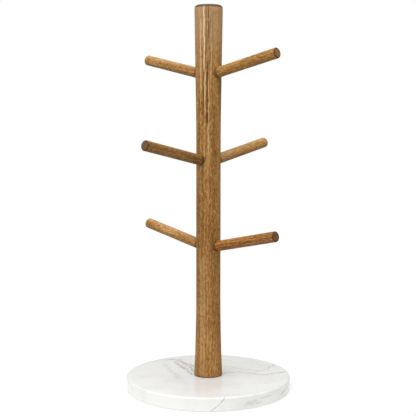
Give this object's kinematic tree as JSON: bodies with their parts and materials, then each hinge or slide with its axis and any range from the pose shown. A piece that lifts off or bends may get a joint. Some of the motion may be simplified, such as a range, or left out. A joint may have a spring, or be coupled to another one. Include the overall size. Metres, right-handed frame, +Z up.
{
  "type": "mug tree",
  "caption": "Free-standing mug tree: a turned wooden post on a round marble base, with wooden pegs in crossed pairs that rise outwards to hold mugs by their handles.",
  "frame": {"origin": "on the table, under the middle of the base", "axes": "+Z up along the post; the upper and lower pairs of pegs point along +X and -X, the middle pair along +Y and -Y; -Y is the front"},
  "size_m": [0.1694, 0.1694, 0.37],
  "materials": {
    "marble": "polished white marble with fine grey veins",
    "wood": "turned light-brown hardwood with a satin oiled finish and straight streaky grain",
    "rubber": "matt moulded black rubber",
    "steel": "bright zinc-plated steel",
    "brass": "plain turned brass"
  },
  "bodies": {
    "root": {"marble_base": "marble", "post": "wood", "threaded_insert": "brass", "base_bolt": "steel", "flat_washer": "steel", "lock_washer": "steel", "front_right_pad": "rubber", "front_left_pad": "rubber", "back_left_pad": "rubber", "back_right_pad": "rubber", "upper_right_peg": "wood", "upper_left_peg": "wood", "middle_front_peg": "wood", "middle_back_peg": "wood", "lower_right_peg": "wood", "lower_left_peg": "wood"}
  },
  "joints": []
}
